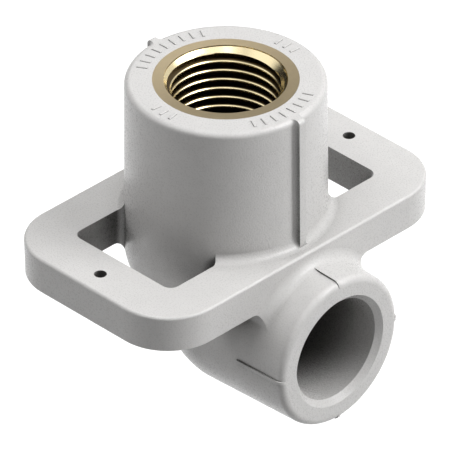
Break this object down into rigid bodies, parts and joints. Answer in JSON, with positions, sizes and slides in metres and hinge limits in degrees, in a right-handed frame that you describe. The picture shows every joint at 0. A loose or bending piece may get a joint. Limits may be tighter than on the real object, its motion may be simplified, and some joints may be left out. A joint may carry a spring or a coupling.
{
  "type": "wall plate elbow",
  "caption": "Moulded pipe elbow on a windowed fixing plate, with a pipe fusion socket behind the plate and a collar around a female threaded brass insert.",
  "frame": {"origin": "where the collar's axis crosses the fixing plate's front face, which is the centre of the two screw holes", "axes": "+Z along the collar's axis, out of the thread and away from the wall; +X along the plate's length, through both screw holes; the pipe socket opens towards -Y behind the plate"},
  "size_m": [0.0682, 0.0478, 0.0574],
  "materials": {
    "moulded_body": "satin, finely grained",
    "brass_insert": "machined"
  },
  "bodies": {
    "root": {"moulded_body": "moulded_body", "brass_insert": "brass_insert"}
  },
  "joints": []
}
